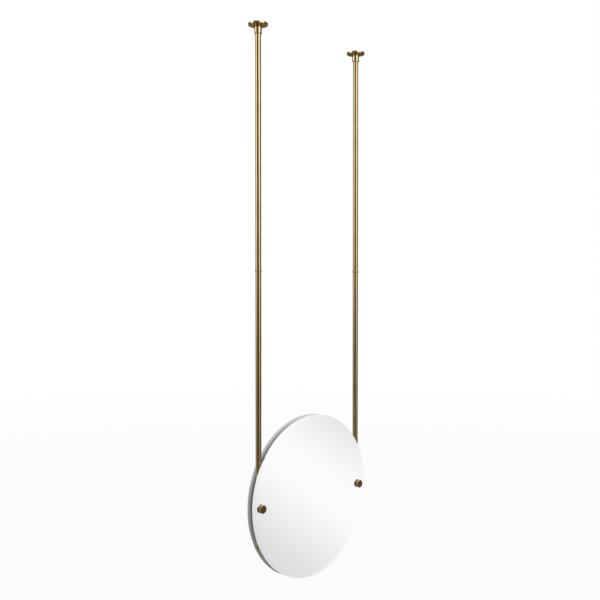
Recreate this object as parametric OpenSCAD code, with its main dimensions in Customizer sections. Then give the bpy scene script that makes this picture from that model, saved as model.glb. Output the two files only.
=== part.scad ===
// Double-sided round mirror hung from the ceiling on two brass posts.
// Millimetres, +Z up, the front of the mirror faces -Y and left is -X.
// The origin lies on the ceiling, midway between the two posts.

/* [Mirror] */
// Diameter of each mirror disc
mirror_d = 558.8; // [400:0.1:760]
// Thickness of the glass
glass_t = 4.8; // [4:0.1:8]
// Width of the bevel round the edge of the glass
bevel_w = 12.7; // [6:0.1:20]
// How much thinner the glass is at its edge
bevel_depth = 2; // [0.5:0.1:3]
// Thickness of the grey paint and film behind the silvering
backing_t = 0.3; // [0.2:0.05:1]
// How far the backing stops short of the glass edge
backing_inset = 0.6; // [0.2:0.1:3]
// Hole in the glass for a clamping stud
glass_hole_d = 10; // [9.2:0.1:14]

/* [Posts] */
// Distance from the edge of the mirror to the axis of a post
post_inset = 38.1; // [32:0.1:70]
// Outer diameter of the post tubes
tube_d = 19.05; // [18:0.05:20.5]
// Wall of the post tubes
tube_wall = 1.2; // [0.8:0.1:1.6]
// Length of an upper tube
upper_tube_l = 789.2; // [300:0.1:1200]
// Length of a lower tube
lower_tube_l = 888; // [500:0.1:1200]
// Height of the mirror's centre above the foot of the lower tubes
stud_above_foot = 115; // [60:0.1:250]

/* [Tube joints] */
// Diameter of the ring between an upper and a lower tube
ring_d = 22.3; // [21.5:0.1:30]
// Height of that ring
ring_h = 6; // [4:0.1:12]
// Rounding of its rim
ring_round = 1.6; // [0.5:0.1:1.9]
// Length of the threaded plugs soldered into the tube ends
plug_l = 25; // [15:0.5:40]
// Diameter of the studs that screw into the plugs
joint_stud_d = 9.5; // [8:0.1:11]
// How far such a stud screws into a plug
joint_grip = 18; // [8:0.5:24]

/* [Foot caps] */
// Height of the cap below the foot of a lower tube
cap_h = 15; // [8:0.5:30]
// Length of its spigot inside the tube
cap_spigot_l = 12; // [6:0.5:25]
// Rounding of the cap's edges
cap_round = 1.2; // [0.3:0.1:3]

/* [Ceiling flanges] */
// Diameter of a flange
flange_d = 64.5; // [56:0.1:90]
// Height of the flange's rim
flange_t = 6.35; // [5:0.05:10]
// Width of the rim round the recess for the ceiling plate
flange_rim_w = 4; // [2.5:0.1:8]
// Rounding of the flange's lower edge
flange_round = 1.2; // [0.3:0.1:2.4]
// Diameter of the collar round the tube
collar_d = 24.4; // [23.8:0.1:32]
// Length of the collar below the flange
collar_l = 26.8; // [12:0.1:50]
// Chamfer at the collar's lower end
collar_chamfer = 0.9; // [0.3:0.1:1.5]
// Diameter of the set screw through the collar
set_screw_d = 4; // [3:0.1:6]
// Height of the set screw above the collar's lower end
set_screw_up = 9; // [5:0.1:11]
// Hexagon socket of the set screw, across flats
set_socket_af = 2; // [1.3:0.1:2.4]

/* [Ceiling plates] */
// Thickness of the steel plate screwed to the ceiling
plate_t = 3; // [2:0.1:4]
// Distance between the plate's two screw holes
screw_spacing = 36; // [28:0.5:38]
// Diameter of a screw hole
screw_hole_d = 4.5; // [3.5:0.1:5.5]
// Diameter of the countersink for the screw head
screw_head_d = 8.6; // [6:0.1:9]

/* [Clamping knobs] */
// Diameter of a knob
knob_d = 28; // [24:0.1:40]
// Thickness of a knob
knob_t = 8; // [7.5:0.1:16]
// Chamfer round the face of a knob
knob_chamfer = 1.3; // [0.3:0.1:2.5]
// Depth of the shallow dish turned in the knob's face
dish_depth = 0.4; // [0.2:0.05:0.6]
// Width of the flat land round that dish
dish_land = 3; // [1.5:0.1:6]
// Diameter of the clamping stud through both mirrors
stud_d = 6.35; // [5:0.05:7]
// Travel of a knob from tight to the end of its thread
knob_travel = 6.35; // [4:0.05:6.6]
// Diameter of the washer under a knob
washer_d = 23; // [16:0.1:23.8]
// Thickness of that washer
washer_t = 1; // [0.5:0.1:3]

/* [Grommets] */
// Thickness of the grommet's flange between mirror and tube
grommet_t = 0.8; // [0.6:0.1:3]
// Diameter of that flange
grommet_d = 16; // [14.6:0.1:24]

/* [Clearances] */
// Between a plug or spigot and the tube around it
solder_gap = 0.05; // [0.02:0.01:0.1]
// Between a thread and its hole, on the radius
thread_gap = 0.05; // [0.02:0.01:0.1]
// Between the flange's bore and the tube it slides on
slide_gap = 0.1; // [0.05:0.01:0.3]
// Between the ceiling plate and the recess over it
recess_gap = 0.4; // [0.3:0.1:0.8]
// Round a stud where it only passes through
pass_gap = 0.3; // [0.1:0.05:0.6]
// Between a foot cap and the mirrors on both sides
cap_gap = 0.3; // [0.2:0.05:0.6]

/* [Hidden] */
$fn = 96;

// Overshoot of a cutting tool past the face that it cuts
cut = 1;
left = -1;
right = 1;
front = -1;
rear = 1;
brass = "#a5844e";
steel = "#b9bcc0";
vinyl = "#d9dcda";
silver = "#e9edf0";
paint = "#8f9293";

mirror_r = mirror_d / 2;
tube_r = tube_d / 2;
tube_bore_r = tube_r - tube_wall;
plug_r = tube_bore_r - solder_gap;
post_x = mirror_r - post_inset;

// Levels down a post, from the ceiling
plate_z = -plate_t;
recess_z = plate_z - recess_gap;
tube_top_z = recess_z;
ring_top_z = tube_top_z - upper_tube_l;
ring_foot_z = ring_top_z - ring_h;
foot_z = ring_foot_z - lower_tube_l;
mirror_z = foot_z + stud_above_foot;

// Distances from the plane of the posts to the front or the rear
backing_y = tube_r + grommet_t;
glass_y = backing_y + backing_t;
face_y = glass_y + glass_t;
knob_y = face_y + washer_t;
stud_end_y = knob_y + knob_travel;
knob_bore_l = knob_travel + pass_gap;

flange_r = flange_d / 2;
recess_r = flange_r - flange_rim_w;
plate_r = recess_r - recess_gap;
collar_r = collar_d / 2;
collar_foot_z = -flange_t - collar_l;
flange_bore_r = tube_r + slide_gap;
set_screw_r = set_screw_d / 2;
set_screw_z = collar_foot_z + set_screw_up;
stud_r = stud_d / 2;
joint_stud_r = joint_stud_d / 2;
cap_r = backing_y - cap_gap;

// Moves a piece from the middle of the ceiling to one of the posts
module on_post(side) {
    translate([side * post_x, 0, 0]) children();
}

// Turns a piece drawn along +Z to face the front or the rear,
// at the height of the mirror's centre
module facing(way) {
    translate([0, 0, mirror_z])
        rotate([way == front ? 90 : -90, 0, 0])
        children();
}

// A disc or ring whose outer edges can be rounded at its foot and its head
module turned(r_in, r_out, z_foot, z_head, foot_round, head_round) {
    h = z_head - z_foot;
    rotate_extrude()
        difference() {
            translate([r_in, z_foot]) square([r_out - r_in, h]);
            corner(r_out, z_foot, foot_round, 1);
            corner(r_out, z_head, head_round, -1);
        }
}

// The waste outside a rounded corner of a turned profile
module corner(r, z, round_r, up) {
    if (round_r > 0)
        translate([r - round_r, z + up * round_r])
        difference() {
            translate([0, up > 0 ? -round_r - cut : 0]) square(round_r + cut);
            circle(round_r);
        }
}

// Two holes through the glass or its backing, one for each clamping stud
module stud_holes(from_z, to_z) {
    for (side = [left, right])
        translate([side * post_x, 0, from_z - cut])
        cylinder(d = glass_hole_d, h = to_z - from_z + 2 * cut);
}

// Silvered glass disc, flat at the back and bevelled round its face
module mirror_glass(way) {
    color(silver) facing(way) difference() {
        rotate_extrude() polygon([
            [0, glass_y], [mirror_r, glass_y], [mirror_r, face_y - bevel_depth],
            [mirror_r - bevel_w, face_y], [0, face_y]
        ]);
        stud_holes(glass_y, face_y);
    }
}

// Paint and safety film on the back of the glass
module mirror_backing(way) {
    color(paint) facing(way) difference() {
        translate([0, 0, backing_y])
            cylinder(r = mirror_r - backing_inset, h = backing_t);
        stud_holes(backing_y, glass_y);
    }
}

// Round steel plate with a threaded hole and two countersunk screw holes
module ceiling_plate() {
    countersink_h = (screw_head_d - screw_hole_d) / 2;
    color(steel) difference() {
        translate([0, 0, plate_z]) cylinder(r = plate_r, h = plate_t);
        translate([0, 0, plate_z - cut])
            cylinder(r = joint_stud_r + thread_gap, h = plate_t + 2 * cut);
        for (end = [front, rear])
            translate([0, end * screw_spacing / 2, 0]) {
                translate([0, 0, plate_z - cut])
                    cylinder(d = screw_hole_d, h = plate_t + 2 * cut);
                translate([0, 0, plate_z])
                    cylinder(d1 = screw_head_d, d2 = screw_hole_d, h = countersink_h);
            }
    }
}

// Stud between the ceiling plate and the plug in the top of the tube
module ceiling_stud() {
    color(steel)
        translate([0, 0, tube_top_z - joint_grip])
        cylinder(r = joint_stud_r, h = joint_grip - tube_top_z);
}

// Flange and collar in one turned piece, hollow over the ceiling plate
module flange() {
    color(brass) difference() {
        union() {
            turned(0, flange_r, -flange_t, 0, flange_round, 0);
            translate([0, 0, collar_foot_z + collar_chamfer])
                cylinder(r = collar_r, h = collar_l + flange_t / 2 - collar_chamfer);
            translate([0, 0, collar_foot_z])
                cylinder(r1 = collar_r - collar_chamfer, r2 = collar_r, h = collar_chamfer);
        }
        translate([0, 0, recess_z]) cylinder(r = recess_r, h = cut - recess_z);
        translate([0, 0, collar_foot_z - cut])
            cylinder(r = flange_bore_r, h = collar_l + flange_t + cut);
        translate([0, 0, set_screw_z])
            rotate([-90, 0, 0])
            cylinder(r = set_screw_r + thread_gap, h = collar_r + cut);
    }
}

// Headless screw through the back of the collar, bearing on the tube
module set_screw() {
    tip_y = tube_r + thread_gap;
    screw_l = collar_r - thread_gap - tip_y;
    color(steel)
        translate([0, tip_y, set_screw_z])
        rotate([-90, 0, 0])
        difference() {
            cylinder(r = set_screw_r, h = screw_l);
            translate([0, 0, screw_l / 2])
                cylinder(d = set_socket_af / cos(30), h = screw_l, $fn = 6);
        }
}

// Threaded plug soldered into the end of a tube
module plug(foot) {
    color(brass) difference() {
        translate([0, 0, foot]) cylinder(r = plug_r, h = plug_l);
        translate([0, 0, foot - cut])
            cylinder(r = joint_stud_r + thread_gap, h = plug_l + 2 * cut);
    }
}

// Length of post tube
module tube(foot, length) {
    difference() {
        translate([0, 0, foot]) cylinder(r = tube_r, h = length);
        translate([0, 0, foot - cut]) cylinder(r = tube_bore_r, h = length + 2 * cut);
    }
}

module upper_tube() {
    color(brass) tube(ring_top_z, upper_tube_l);
}

// Lower tube, cross-drilled for the clamping stud
module lower_tube() {
    color(brass) difference() {
        tube(foot_z, lower_tube_l);
        translate([0, -tube_d, mirror_z])
            rotate([-90, 0, 0])
            cylinder(r = stud_r + pass_gap, h = 2 * tube_d);
    }
}

// Ring held between the two tubes, a little proud of them
module joint_ring() {
    color(brass)
        turned(joint_stud_r + pass_gap, ring_d / 2, ring_foot_z, ring_top_z,
            ring_round, ring_round);
}

// Stud that screws into the plugs above and below the ring
module joint_stud() {
    color(steel)
        translate([0, 0, ring_foot_z - joint_grip])
        cylinder(r = joint_stud_r, h = ring_h + 2 * joint_grip);
}

// Cap that closes the foot of a lower tube, with a spigot inside it
module foot_cap() {
    color(brass) {
        turned(0, cap_r, foot_z - cap_h, foot_z, cap_round, (cap_r - tube_r) / 2);
        translate([0, 0, foot_z - cap_h / 2])
            cylinder(r = plug_r, h = cap_h / 2 + cap_spigot_l);
    }
}

// Threaded stud through both mirrors and the tube between them
module clamp_stud() {
    color(steel)
        facing(front)
        translate([0, 0, -stud_end_y])
        cylinder(r = stud_r, h = 2 * stud_end_y);
}

// Soft grommet: a flange between backing and tube, a sleeve in the glass
module grommet(way) {
    sleeve_r = glass_hole_d / 2 - pass_gap;
    color(vinyl) facing(way) difference() {
        union() {
            translate([0, 0, tube_r]) cylinder(d = grommet_d, h = grommet_t);
            translate([0, 0, tube_r]) cylinder(r = sleeve_r, h = face_y - tube_r - pass_gap);
        }
        cylinder(r = stud_r + pass_gap, h = face_y);
    }
}

// Soft washer between the glass and a knob
module washer(way) {
    color(vinyl) facing(way) difference() {
        translate([0, 0, face_y]) cylinder(d = washer_d, h = washer_t);
        translate([0, 0, face_y - cut])
            cylinder(r = stud_r + pass_gap, h = washer_t + 2 * cut);
    }
}

// Round knob with a blind threaded hole, a chamfer and a shallow dish
module knob(way) {
    knob_r = knob_d / 2;
    knob_face_y = knob_y + knob_t;
    dish_r = knob_r - knob_chamfer - dish_land;
    color(brass) facing(way) difference() {
        union() {
            translate([0, 0, knob_y]) cylinder(r = knob_r, h = knob_t - knob_chamfer);
            translate([0, 0, knob_face_y - knob_chamfer])
                cylinder(r1 = knob_r, r2 = knob_r - knob_chamfer, h = knob_chamfer);
        }
        translate([0, 0, knob_y - cut])
            cylinder(r = stud_r + thread_gap, h = knob_bore_l + cut);
        translate([0, 0, knob_face_y - dish_depth])
            cylinder(r = dish_r, h = dish_depth + cut);
    }
}

mirror_glass(front);  // front_mirror
mirror_backing(front);  // front_backing
mirror_glass(rear);  // rear_mirror
mirror_backing(rear);  // rear_backing
on_post(left) ceiling_plate();  // left_ceiling_plate
on_post(right) ceiling_plate();  // right_ceiling_plate
on_post(left) ceiling_stud();  // left_ceiling_stud
on_post(right) ceiling_stud();  // right_ceiling_stud
on_post(left) flange();  // left_flange
on_post(right) flange();  // right_flange
on_post(left) set_screw();  // left_set_screw
on_post(right) set_screw();  // right_set_screw
on_post(left) plug(tube_top_z - plug_l);  // left_top_plug
on_post(right) plug(tube_top_z - plug_l);  // right_top_plug
on_post(left) upper_tube();  // left_upper_tube
on_post(right) upper_tube();  // right_upper_tube
on_post(left) plug(ring_top_z);  // left_upper_joint_plug
on_post(right) plug(ring_top_z);  // right_upper_joint_plug
on_post(left) joint_ring();  // left_joint_ring
on_post(right) joint_ring();  // right_joint_ring
on_post(left) joint_stud();  // left_joint_stud
on_post(right) joint_stud();  // right_joint_stud
on_post(left) plug(ring_foot_z - plug_l);  // left_lower_joint_plug
on_post(right) plug(ring_foot_z - plug_l);  // right_lower_joint_plug
on_post(left) lower_tube();  // left_lower_tube
on_post(right) lower_tube();  // right_lower_tube
on_post(left) foot_cap();  // left_foot_cap
on_post(right) foot_cap();  // right_foot_cap
on_post(left) clamp_stud();  // left_clamp_stud
on_post(right) clamp_stud();  // right_clamp_stud
on_post(left) grommet(front);  // front_left_grommet
on_post(right) grommet(front);  // front_right_grommet
on_post(left) grommet(rear);  // rear_left_grommet
on_post(right) grommet(rear);  // rear_right_grommet
on_post(left) washer(front);  // front_left_washer
on_post(right) washer(front);  // front_right_washer
on_post(left) washer(rear);  // rear_left_washer
on_post(right) washer(rear);  // rear_right_washer
on_post(left) knob(front);  // front_left_knob
on_post(right) knob(front);  // front_right_knob
on_post(left) knob(rear);  // rear_left_knob
on_post(right) knob(rear);  // rear_right_knob
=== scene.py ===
"""Looks of a double-sided round mirror that hangs from the ceiling on two brass posts."""
import math

import bmesh
import bpy
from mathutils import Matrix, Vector


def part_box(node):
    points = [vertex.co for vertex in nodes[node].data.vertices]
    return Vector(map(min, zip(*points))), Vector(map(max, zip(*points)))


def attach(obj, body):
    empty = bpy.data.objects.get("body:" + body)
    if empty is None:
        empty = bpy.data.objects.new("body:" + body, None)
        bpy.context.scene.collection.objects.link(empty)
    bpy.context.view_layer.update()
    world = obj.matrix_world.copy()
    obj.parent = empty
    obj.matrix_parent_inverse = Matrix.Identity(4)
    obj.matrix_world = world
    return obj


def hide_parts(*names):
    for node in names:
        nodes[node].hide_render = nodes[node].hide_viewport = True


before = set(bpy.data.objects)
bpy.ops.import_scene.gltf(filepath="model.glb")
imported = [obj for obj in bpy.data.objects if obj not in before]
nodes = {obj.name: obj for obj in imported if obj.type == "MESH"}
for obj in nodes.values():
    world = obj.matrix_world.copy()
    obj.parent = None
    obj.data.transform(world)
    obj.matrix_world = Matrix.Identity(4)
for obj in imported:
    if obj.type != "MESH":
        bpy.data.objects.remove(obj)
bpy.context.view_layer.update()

# The photographer stood to the left of the front, a little above the mirror
CAMERA_PLACE = Vector((-2.0699, -1.9812, -0.8315))
CAMERA_TURN = math.radians(45.58)
CAMERA_TILT = math.radians(1.27)
FOCAL_MM = 49.77
SENSOR_MM = 36.0

CLIP_START, CLIP_END = 0.05, 60.0

FLOOR_LEVEL = -2.44
FLOOR_RADIUS = 14.0
FLOOR_SIDES = 96

UP, DOWN, BACKWARD = (0.0, 0.0, 1.0), (0.0, 0.0, -1.0), (0.0, 1.0, 0.0)
DEGREES = 180.0 / math.pi


def middle(name):
    low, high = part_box(name)
    return (low + high) / 2


# The lit walls of the studio stand round these two points
MIRROR_CENTRE = middle("front_mirror")
POST_CENTRE = Vector((0.0, 0.0, MIRROR_CENTRE.z / 2))
# How far behind or before the posts the middle of a glass edge lies
EDGE_MIDDLE = 0.01203
# Horizontal ways from the object, towards the photographer and to their right
TOWARD = Vector((-math.sin(CAMERA_TURN), -math.cos(CAMERA_TURN), 0.0))
ASIDE = Vector((math.cos(CAMERA_TURN), -math.sin(CAMERA_TURN), 0.0))


class Tree:
    """Short ways to add nodes to a shader tree."""

    def __init__(self, owner):
        owner.use_nodes = True
        self.tree = owner.node_tree
        self.nodes = self.tree.nodes
        self.nodes.clear()

    def add(self, kind, **settings):
        node = self.nodes.new(kind)
        for name, value in settings.items():
            setattr(node, name, value)
        return node

    def put(self, socket, value):
        if isinstance(value, bpy.types.NodeSocket):
            self.tree.links.new(value, socket)
        else:
            socket.default_value = value

    def math(self, operation, a, b=0.0):
        node = self.add("ShaderNodeMath", operation=operation)
        self.put(node.inputs[0], a)
        self.put(node.inputs[1], b)
        return node.outputs[0]

    def weigh(self, a, share_a, b, share_b):
        """The sum of two numbers, each times its share."""
        part_a = self.math("MULTIPLY", a, share_a)
        return self.math("ADD", part_a, self.math("MULTIPLY", b, share_b))

    def vector(self, operation, a, b=None):
        """Vector maths; lengths and dot products come out as a number."""
        node = self.add("ShaderNodeVectorMath", operation=operation)
        self.put(node.inputs[0], a)
        if b is not None:
            self.put(node.inputs[1], b)
        return node.outputs["Value" if operation in ("LENGTH", "DOT_PRODUCT") else "Vector"]

    def ramp(self, value, start, end, low=0.0, high=1.0):
        """Eases from low to high while value goes from start to end."""
        node = self.add("ShaderNodeMapRange", interpolation_type="SMOOTHSTEP")
        self.put(node.inputs["Value"], value)
        self.put(node.inputs["From Min"], start)
        self.put(node.inputs["From Max"], end)
        self.put(node.inputs["To Min"], low)
        self.put(node.inputs["To Max"], high)
        return node.outputs["Result"]

    def blend(self, share, low, high):
        """Mixes two colours."""
        node = self.add("ShaderNodeMix", data_type="RGBA", clamp_factor=False)
        self.put(node.inputs["Factor"], share)
        self.put(node.inputs["A"], low)
        self.put(node.inputs["B"], high)
        return node.outputs["Result"]

    def between(self, share, low, high):
        """Mixes two numbers."""
        node = self.add("ShaderNodeMix", data_type="FLOAT")
        self.put(node.inputs["Factor"], share)
        self.put(node.inputs["A"], low)
        self.put(node.inputs["B"], high)
        return node.outputs["Result"]

    def split(self, vector):
        node = self.add("ShaderNodeSeparateXYZ")
        self.put(node.inputs[0], vector)
        return node.outputs

    def join(self, x, y, z):
        node = self.add("ShaderNodeCombineXYZ")
        for socket, value in zip(node.inputs, (x, y, z)):
            self.put(socket, value)
        return node.outputs[0]

    def noise(self, vector, scale, detail=3.0, roughness=0.5):
        node = self.add("ShaderNodeTexNoise")
        self.put(node.inputs["Vector"], vector)
        node.inputs["Scale"].default_value = scale
        node.inputs["Detail"].default_value = detail
        node.inputs["Roughness"].default_value = roughness
        return node.outputs["Fac"]

    def bump(self, height, distance):
        node = self.add("ShaderNodeBump")
        node.inputs["Distance"].default_value = distance
        self.put(node.inputs["Height"], height)
        return node.outputs["Normal"]

    def place(self):
        """The point being shaded, in the object's own frame."""
        return self.add("ShaderNodeTexCoord").outputs["Object"]


def shade(value):
    return (value, value, value, 1.0)


def principled(name):
    """A new material: its node tree and its shader."""
    material = bpy.data.materials.new(name)
    tree = Tree(material)
    shader = tree.add("ShaderNodeBsdfPrincipled")
    out = tree.add("ShaderNodeOutputMaterial")
    tree.put(out.inputs["Surface"], shader.outputs["BSDF"])
    return material, tree, shader


BRASS_TINT = (0.62, 0.475, 0.265)
# What the tint is multiplied by where the brass is darkest and where it is palest
DEEP_SHARES = (0.93, 0.91, 0.87)
PALE_SHARES = (1.05, 1.05, 1.05)
# How fine the tool marks are: across a post (two ways) and along it, and on turned pieces
DRAWN_GRAIN = (900.0, 900.0, 6.0)
TURNED_GRAIN = 1500.0


def brass(name, grain_of, roughness=0.12):
    """Polished brass: fine tool marks, a slow change of tone and faint clouds in the gloss.
    grain_of takes the tree and the place, and gives the place at which the marks are read."""
    material, tree, shader = principled(name)
    place = tree.place()
    marks = tree.noise(grain_of(tree, place), 1.0, 3.0, 0.6)
    clouds = tree.noise(place, 16.0, 3.0)
    deep, pale = (
        tuple(channel * share for channel, share in zip(BRASS_TINT, shares)) + (1.0,)
        for shares in (DEEP_SHARES, PALE_SHARES))
    tone = tree.weigh(clouds, 0.9, marks, 0.1)
    tree.put(shader.inputs["Base Color"], tree.blend(tree.ramp(tone, 0.3, 0.7), deep, pale))
    shader.inputs["Metallic"].default_value = 1.0
    gloss = tree.weigh(marks, 0.02, clouds, 0.04)
    tree.put(shader.inputs["Roughness"], tree.math("ADD", gloss, roughness - 0.03))
    tree.put(shader.inputs["Normal"], tree.bump(marks, 0.0000008))
    return material


def drawn(tree, place):
    """Marks drawn out along a post."""
    return tree.vector("MULTIPLY", place, DRAWN_GRAIN)


def lathe(centre, axis):
    """Marks turned round an axis: fine across it, long round it."""
    def grain_of(tree, place):
        offset = tree.vector("SUBTRACT", place, centre)
        along = tree.vector("DOT_PRODUCT", offset, axis)
        across = tree.vector("LENGTH", tree.vector("CROSS_PRODUCT", offset, axis))
        fine_across = tree.math("MULTIPLY", across, TURNED_GRAIN)
        fine_along = tree.math("MULTIPLY", along, TURNED_GRAIN)
        return tree.join(fine_across, fine_along, 0.0)
    return grain_of


def silvered_glass():
    """Silver seen through glass on the face. The polished edge is green in its middle and
    pale along its two arrises."""
    material, tree, shader = principled("silvered_glass")
    place = tree.place()
    facing = tree.split(tree.add("ShaderNodeNewGeometry").outputs["True Normal"])["Y"]
    on_face = tree.ramp(tree.math("ABSOLUTE", facing), 0.5, 0.7)
    haze = tree.noise(place, 9.0, 2.0)
    silver = tree.blend(haze, (0.93, 0.94, 0.937, 1.0), (0.95, 0.955, 0.952, 1.0))
    from_posts = tree.math("ABSOLUTE", tree.split(place)["Y"])
    off_middle = tree.math("ABSOLUTE", tree.math("SUBTRACT", from_posts, EDGE_MIDDLE))
    clouds = tree.noise(place, 60.0, 2.0)
    core = tree.blend(clouds, (0.45, 0.60, 0.54, 1.0), (0.54, 0.69, 0.62, 1.0))
    edge = tree.blend(tree.ramp(off_middle, 0.0001, 0.0010), core, (0.96, 0.99, 0.98, 1.0))
    tree.put(shader.inputs["Base Color"], tree.blend(on_face, edge, silver))
    shader.inputs["Metallic"].default_value = 1.0
    polish = tree.ramp(haze, 0.2, 0.8, 0.06, 0.10)
    tree.put(shader.inputs["Roughness"], tree.between(on_face, 0.25, polish))
    return material


def backing_paint():
    """Grey paint, pale near the rim, with painted shade that darkens it further in, deep in the gap
    between the mirrors.
    """
    material, tree, shader = principled("backing_paint")
    place = tree.place()
    clouds = tree.noise(place, 14.0, 3.0)
    offset = tree.vector("MULTIPLY", tree.vector("SUBTRACT", place, MIRROR_CENTRE), (1.0, 0.0, 1.0))
    # Painted shade: the grey falls from the pale paint at the rim to near black further in, where
    # the gap between the mirrors lies in shade
    free_of_painted_shade = tree.ramp(tree.vector("LENGTH", offset), 0.258, 0.280)
    painted_gap_shade = tree.blend(clouds, shade(0.055), shade(0.070))
    paint = tree.blend(clouds, shade(0.50), shade(0.56))
    tree.put(shader.inputs["Base Color"], tree.blend(free_of_painted_shade, painted_gap_shade, paint))
    tree.put(shader.inputs["Roughness"], tree.ramp(clouds, 0.3, 0.7, 0.45, 0.55))
    tree.put(shader.inputs["Normal"], tree.bump(clouds, 0.00002))
    return material


def clear_vinyl():
    material, tree, shader = principled("clear_vinyl")
    clouds = tree.noise(tree.place(), 160.0, 3.0)
    tone = tree.blend(clouds, (0.74, 0.75, 0.73, 1.0), (0.86, 0.87, 0.85, 1.0))
    tree.put(shader.inputs["Base Color"], tone)
    tree.put(shader.inputs["Roughness"], tree.ramp(clouds, 0.2, 0.8, 0.28, 0.42))
    shader.inputs["Subsurface Weight"].default_value = 0.3
    shader.inputs["Subsurface Radius"].default_value = (0.002, 0.002, 0.002)
    tree.put(shader.inputs["Normal"], tree.bump(clouds, 0.00002))
    return material


def zinc_steel():
    """Zinc plate: bluish, softly brushed, with a speckle."""
    material, tree, shader = principled("zinc_steel")
    speckle = tree.noise(tree.place(), 500.0, 4.0, 0.7)
    tone = tree.blend(speckle, (0.50, 0.52, 0.55, 1.0), (0.68, 0.70, 0.73, 1.0))
    tree.put(shader.inputs["Base Color"], tone)
    shader.inputs["Metallic"].default_value = 1.0
    tree.put(shader.inputs["Roughness"], tree.ramp(speckle, 0.3, 0.7, 0.28, 0.42))
    tree.put(shader.inputs["Normal"], tree.bump(speckle, 0.00002))
    return material


THREAD_PITCH = 0.00127
THREAD_DEPTH = 0.00075
# One turn of the thread: how far along the pitch, and how much of the depth it stands up
THREAD_PROFILE = [(0.0, 0.0), (0.25, 0.0), (0.5625, 1.0), (0.6875, 1.0)]
# How many pitches from each end the thread starts to grow
THREAD_RUNOUT = 0.8
THREAD_COLUMNS = 40
END_CHAMFER = 0.0004
SHARP_ANGLE = math.radians(25.0)


def threaded_stud(node, finish):
    """The clamping stud with its thread cut from end to end, in place of the plain CAD solid."""
    low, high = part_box(node)
    centre = middle(node)
    crest = (high.x - low.x) / 2
    root = crest - THREAD_DEPTH
    columns = THREAD_COLUMNS
    start = low.y + END_CHAMFER
    turns = int((high.y - low.y - 2 * END_CHAMFER) / THREAD_PITCH) - 1
    shares = [turn + step for turn in range(turns) for step, _ in THREAD_PROFILE] + [turns]
    heights = [height for _ in range(turns) for _, height in THREAD_PROFILE] + [0.0]
    count = len(shares)

    def point(column, y, radius):
        angle = math.tau * column / columns
        return (centre.x + radius * math.cos(angle), y, centre.z + radius * math.sin(angle))

    points = []
    for column in range(columns):
        for share, height in zip(shares, heights):
            y = start + THREAD_PITCH * (share + column / columns)
            # The thread runs out towards both ends of the stud
            room = min(y - low.y, high.y - y)
            grown = min(max(room / THREAD_PITCH - THREAD_RUNOUT, 0.0), 1.0)
            points.append(point(column, y, root + THREAD_DEPTH * height * grown))
    steps = len(THREAD_PROFILE)
    faces = []
    for column in range(columns):
        shift = steps if column == columns - 1 else 0
        here, there = column * count, (column + 1) % columns * count + shift
        for i in range(count - 1 - shift):
            faces.append((here + i, here + i + 1, there + i + 1, there + i))
    last = (columns - 1) * count
    for edge, y in ((0, low.y), (count - 1, high.y)):
        ring = len(points)
        points += [point(column, y, root - END_CHAMFER) for column in range(columns)]
        for column in range(columns - 1):
            rim = column * count + edge
            faces.append((ring + column, ring + column + 1, rim + count, rim))
        # The thread climbs a pitch in a turn, so the last column meets the first a turn on
        if edge == 0:
            seam = list(range(steps + 1)) + [last]
        else:
            seam = [edge] + [last + edge - steps + i for i in range(steps + 1)]
        faces.append([ring + columns - 1, ring] + seam)
        faces.append(list(range(ring, ring + columns)))
    mesh = bpy.data.meshes.new(f"{node}_thread")
    mesh.from_pydata(points, [], faces)
    mesh.validate()
    shape = bmesh.new()
    shape.from_mesh(mesh)
    bmesh.ops.recalc_face_normals(shape, faces=shape.faces)
    shape.to_mesh(mesh)
    shape.free()
    mesh.shade_smooth()
    mesh.set_sharp_from_angle(angle=SHARP_ANGLE)
    mesh.materials.append(finish)
    piece = bpy.data.objects.new(f"{node}_thread", mesh)
    bpy.context.scene.collection.objects.link(piece)
    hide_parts(node)
    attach(piece, "posts_and_mirrors")
    return piece


def dress(metalwork):
    """Gives each carried-over node its material, and the clamping studs their thread."""
    vinyl, zinc = clear_vinyl(), zinc_steel()
    finishes = {
        "tube": brass("drawn_brass", drawn),
        "mirror": silvered_glass(),
        "backing": backing_paint(),
        "washer": vinyl, "grommet": vinyl,
        "plate": zinc, "stud": zinc, "screw": zinc,
    }
    for side in ("left", "right"):
        post = middle(f"{side}_upper_tube")
        knob = middle(f"front_{side}_knob")
        finishes[f"{side} turned"] = brass(f"turned_brass_{side}", lathe(post, UP))
        finishes[f"{side} plug"] = brass(f"plain_brass_{side}", lathe(post, UP), roughness=0.3)
        finishes[f"{side} knob"] = brass(f"knob_brass_{side}", lathe(knob, BACKWARD))
    for name, piece in nodes.items():
        kind = name.rsplit("_", 1)[1]
        side = "left" if "left" in name else "right"
        kind = "turned" if kind in ("flange", "ring", "cap") else kind
        finish = finishes.get(kind) or finishes[f"{side} {kind}"]
        for slot in piece.material_slots:
            slot.material = finish
    for side in ("left", "right"):
        metalwork.objects.link(threaded_stud(f"{side}_clamp_stud", zinc))


# What reflections see wherever no lit wall stands
ROOM_GLOW = (0.135, 0.105, 0.068)


def studio_world():
    """White to the eye, a dim warm room to whatever reflects."""
    world = bpy.data.worlds.new("studio")
    bpy.context.scene.world = world
    world.cycles_visibility.diffuse = False
    tree = Tree(world)
    eye = tree.add("ShaderNodeLightPath").outputs["Is Camera Ray"]
    background = tree.add("ShaderNodeBackground")
    tree.put(background.inputs["Color"], tree.blend(eye, ROOM_GLOW + (1.0,), shade(1.0)))
    out = tree.add("ShaderNodeOutputWorld")
    tree.put(out.inputs["Surface"], background.outputs["Background"])


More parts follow.
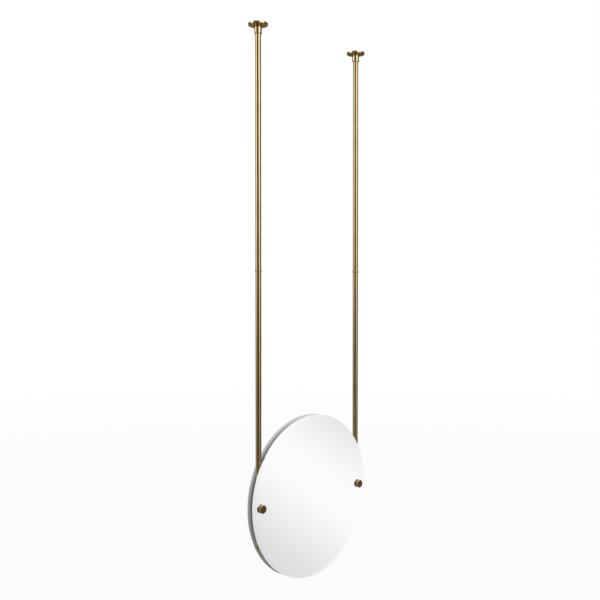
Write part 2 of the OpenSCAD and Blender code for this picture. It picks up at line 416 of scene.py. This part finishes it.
def lit_wall(name, centre, way, distance, width, height, tone, receivers):
    """A rectangle of light that stands out from centre in the given way and faces it. tone
    takes the wall's tree and the way from centre to a point of the wall, and gives its
    colour there. It lights only the receivers."""
    lamp = bpy.data.lights.new(name, "AREA")
    lamp.shape = "RECTANGLE"
    lamp.size, lamp.size_y = width, height
    lamp.energy = math.pi * width * height
    tree = Tree(lamp)
    place = tree.add("ShaderNodeNewGeometry").outputs["Position"]
    outward = tree.vector("NORMALIZE", tree.vector("SUBTRACT", place, centre))
    glow = tree.add("ShaderNodeEmission")
    tree.put(glow.inputs["Color"], tone(tree, outward))
    out = tree.add("ShaderNodeOutputLight")
    tree.put(out.inputs["Surface"], glow.outputs["Emission"])

    wall = bpy.data.objects.new(name, lamp)
    bpy.context.scene.collection.objects.link(wall)
    way = Vector(way).normalized()
    wall.location = Vector(centre) + way * distance
    wall.rotation_mode = "QUATERNION"
    wall.rotation_quaternion = way.to_track_quat("Z", "Y")
    wall.visible_camera = False
    wall.light_linking.receiver_collection = receivers
    return wall


def angles(tree, outward):
    """Degrees to the photographer's right of the way towards them, and degrees above the
    horizon."""
    aside = tree.vector("DOT_PRODUCT", outward, ASIDE)
    toward = tree.vector("DOT_PRODUCT", outward, TOWARD)
    turn = tree.math("MULTIPLY", tree.math("ARCTAN2", aside, toward), DEGREES)
    height = tree.math("MULTIPLY", tree.math("ARCSINE", tree.split(outward)["Z"]), DEGREES)
    return turn, height


def around(degrees):
    """The horizontal way that lies this far to the photographer's right."""
    angle = math.radians(degrees)
    return TOWARD * math.cos(angle) + ASIDE * math.sin(angle)


PANEL_GLOW = (1.62, 1.67, 1.80, 1.0)


def left_panel(tree, outward):
    turn, height = angles(tree, outward)
    inner_edge = tree.ramp(height, -12.0, 8.0, -60.0, -52.0)
    fall = tree.ramp(tree.math("SUBTRACT", turn, inner_edge), -6.0, 6.0, 1.0, 0.0)
    across = tree.math("MULTIPLY", tree.ramp(turn, -104.0, -86.0), fall)
    up = tree.ramp(height, -14.5, 12.0, 0.25, 1.0)
    return tree.blend(tree.math("MULTIPLY", across, up), shade(0.0), PANEL_GLOW)


def right_panel(tree, outward):
    """Its inner edge leans away from the photographer towards the floor."""
    turn, height = angles(tree, outward)
    inner_edge = tree.ramp(height, -26.0, 34.0, 43.0, 14.0)
    outer_edge = tree.ramp(height, -14.0, 16.0, 60.0, 74.0)
    rise = tree.ramp(tree.math("SUBTRACT", turn, inner_edge), -8.0, 8.0)
    fall = tree.ramp(tree.math("SUBTRACT", turn, outer_edge), -8.0, 8.0, 1.0, 0.0)
    up = tree.ramp(height, -30.0, 18.0, 0.32, 1.0)
    across = tree.math("MULTIPLY", rise, fall)
    return tree.blend(tree.math("MULTIPLY", across, up), shade(0.0), PANEL_GLOW)


def far_panel(tree, outward):
    """A low panel beyond the object, which only what faces the floor shows to the
    photographer."""
    turn, height = angles(tree, outward)
    across = tree.ramp(tree.math("ABSOLUTE", turn), 135.0, 155.0)
    level = tree.ramp(height, -18.0, -15.0, 0.16, 0.50)
    top = tree.ramp(height, -14.0, -12.0, 1.0, 0.0)
    lit = tree.math("MULTIPLY", level, top)
    low = tree.math("MULTIPLY", lit, tree.ramp(height, -50.0, -30.0))
    return tree.blend(tree.math("MULTIPLY", across, low), shade(0.0), (1.0, 1.0, 1.05, 1.0))


def both_panels(tree, outward):
    """What the two panels cast on the floor."""
    return tree.vector("ADD", left_panel(tree, outward), right_panel(tree, outward))


# The middle of what the face shows to the photographer, folded into one quarter
SEEN_WAY = Vector((0.6956, 0.6735, -0.2504)).normalized()
# How far from there the face's rim sees, in degrees
FACE_REACH = 7.95
# How the bright band leans, and how many degrees it passes beside that middle
BAND_LEAN = 1.49
BAND_OFFSET = 2.98
# Degrees to the photographer's right of the middle of the dimmer quarter
DIM_TURN = 8.0


def mirror_room(tree, outward):
    """The pale room that the mirrors see, much alike in its four quarters. A soft bright band
    crosses it slantwise in the quarter that the face shows to the photographer, and the
    quarter round the photographer is dimmer."""
    shape = tree.split(outward)
    flat_x, flat_y = (tree.math("ABSOLUTE", shape[axis]) for axis in "XY")
    folded = tree.join(flat_x, flat_y, shape["Z"])
    sideways = Vector(UP).cross(SEEN_WAY).normalized()
    upward = SEEN_WAY.cross(sideways)
    right = tree.vector("DOT_PRODUCT", folded, -sideways * DEGREES)
    up = tree.vector("DOT_PRODUCT", folded, upward * DEGREES)
    near = tree.vector("DOT_PRODUCT", folded, SEEN_WAY)
    away = tree.math("MULTIPLY", tree.math("ARCCOSINE", near), DEGREES)
    # The bevel looks further out than the face, and finds there what the face's rim shows
    nearer = tree.math("MINIMUM", tree.math("DIVIDE", FACE_REACH, away), 1.0)
    across = tree.math("ADD", right, tree.math("MULTIPLY", up, BAND_LEAN))
    slant = tree.math("SUBTRACT", tree.math("MULTIPLY", across, nearer), BAND_OFFSET)
    band = tree.ramp(tree.math("ABSOLUTE", slant), 0.0, 17.5, 1.032, 0.755)
    far = tree.ramp(shape["Z"], -0.2, 0.5, 0.42, 0.85)
    pale = tree.between(tree.ramp(away, 28.0, 60.0), band, far)
    turn = angles(tree, outward)[0]
    aside = tree.math("ABSOLUTE", tree.math("SUBTRACT", turn, DIM_TURN))
    level = tree.math("MULTIPLY", pale, tree.ramp(aside, 12.0, 40.0, 0.43, 1.0))
    # The world's own warm glow comes on top of this, so it is taken off
    return tree.vector("SUBTRACT", tree.join(level, level, level), ROOM_GLOW)


def soft_white(strength):
    return lambda tree, outward: shade(strength)


def group(name, members):
    collection = bpy.data.collections.new(name)
    for member in members:
        collection.objects.link(nodes[member])
    return collection


# The upright panels: name, degrees to the photographer's right, and tone
PANELS = [("left_panel", -85.0, left_panel), ("right_panel", 47.0, right_panel),
          ("far_panel", 180.0, far_panel)]
PANEL_REACH, PANEL_WIDTH, PANEL_HEIGHT = 7.0, 16.0, 12.0
FLOOR_GLOW_SIZE = 15.0
CEILING_GLOW_SIZE, CEILING_GLOW = 14.0, 0.5
# The mirrors' room is a cube round the front mirror
ROOM_WAYS = [(1, 0, 0), (-1, 0, 0), (0, 0, 1), (0, 0, -1), (0, 1, 0), (0, -1, 0)]
ROOM_SIZE = 9.0
# Two slim lights over the gap between the mirrors, one before it and one behind
GAP_REACH, GAP_WIDTH, GAP_HEIGHT, GAP_GLOW = 0.73, 1.0, 0.3, 7.2
# Soft lights all round: the way to each, and its strength
SOFT_LIGHTS = [((-0.8, -0.5, 0.75), 1.5), ((0.8, -0.7, 0.5), 1.0),
               ((-0.7, 0.8, 0.4), 1.0), ((0.7, 0.7, 0.5), 1.0)]
SOFT_REACH, SOFT_SIZE = 4.0, 3.6


def studio_lights():
    """Panels for the metal, a pale room for the mirrors, and soft light for what is dull."""
    mirrors = group("mirrors", ["front_mirror", "rear_mirror"])
    backs = group("backs", ["front_backing", "rear_backing"])
    others = [name for name in nodes if not name.endswith(("mirror", "backing"))]
    metalwork = group("metalwork", others)
    for name, degrees, tone in PANELS:
        lit_wall(name, POST_CENTRE, around(degrees), PANEL_REACH,
                 PANEL_WIDTH, PANEL_HEIGHT, tone, metalwork)
    lit_wall("floor_glow", POST_CENTRE, DOWN, PANEL_REACH,
             FLOOR_GLOW_SIZE, FLOOR_GLOW_SIZE, both_panels, metalwork)
    lit_wall("ceiling_glow", POST_CENTRE, UP, PANEL_REACH,
             CEILING_GLOW_SIZE, CEILING_GLOW_SIZE, soft_white(CEILING_GLOW), metalwork)
    for number, way in enumerate(ROOM_WAYS):
        wall = lit_wall(f"mirror_room_{number}", MIRROR_CENTRE, way, ROOM_SIZE / 2,
                        ROOM_SIZE, ROOM_SIZE, mirror_room, mirrors)
        wall.visible_diffuse = False
    for side in (-1, 1):
        wall = lit_wall(f"gap_glow_{side}", MIRROR_CENTRE, (0.0, side * 0.45, 0.57), GAP_REACH,
                        GAP_WIDTH, GAP_HEIGHT, soft_white(GAP_GLOW), backs)
        wall.visible_glossy = False
        wall.data.use_shadow = False
    for number, (way, strength) in enumerate(SOFT_LIGHTS):
        wall = lit_wall(f"soft_light_{number}", MIRROR_CENTRE, way, SOFT_REACH,
                        SOFT_SIZE, SOFT_SIZE, soft_white(strength), metalwork)
        wall.visible_glossy = False
    return metalwork


def floor():
    """A plain pale floor, far below the mirror."""
    count = FLOOR_SIDES
    steps = [math.tau * i / count for i in range(count)]
    ring = [(FLOOR_RADIUS * math.cos(a), FLOOR_RADIUS * math.sin(a), FLOOR_LEVEL) for a in steps]
    mesh = bpy.data.meshes.new("floor")
    mesh.from_pydata(ring, [], [tuple(range(count))])
    piece = bpy.data.objects.new("floor", mesh)
    bpy.context.scene.collection.objects.link(piece)
    material, tree, shader = principled("floor_white")
    shader.inputs["Base Color"].default_value = shade(0.0)
    shader.inputs["Roughness"].default_value = 1.0
    shader.inputs["Specular IOR Level"].default_value = 0.0
    shader.inputs["Emission Strength"].default_value = 1.0
    reach = tree.vector("LENGTH", tree.place())
    glow = tree.blend(tree.ramp(reach, 3.0, 12.0), shade(0.965), shade(1.0))
    tree.put(shader.inputs["Emission Color"], glow)
    mesh.materials.append(material)
    piece.visible_glossy = False
    piece.visible_diffuse = False
    piece.visible_shadow = False


def camera():
    data = bpy.data.cameras.new("camera")
    data.lens = FOCAL_MM
    data.sensor_width = SENSOR_MM
    data.clip_start, data.clip_end = CLIP_START, CLIP_END
    eye = bpy.data.objects.new("camera", data)
    bpy.context.scene.collection.objects.link(eye)
    eye.location = CAMERA_PLACE
    eye.rotation_euler = (math.pi / 2 - CAMERA_TILT, 0.0, -CAMERA_TURN)
    bpy.context.scene.camera = eye


bpy.context.scene.view_settings.view_transform = "Standard"
camera()
studio_world()
floor()
dress(studio_lights())
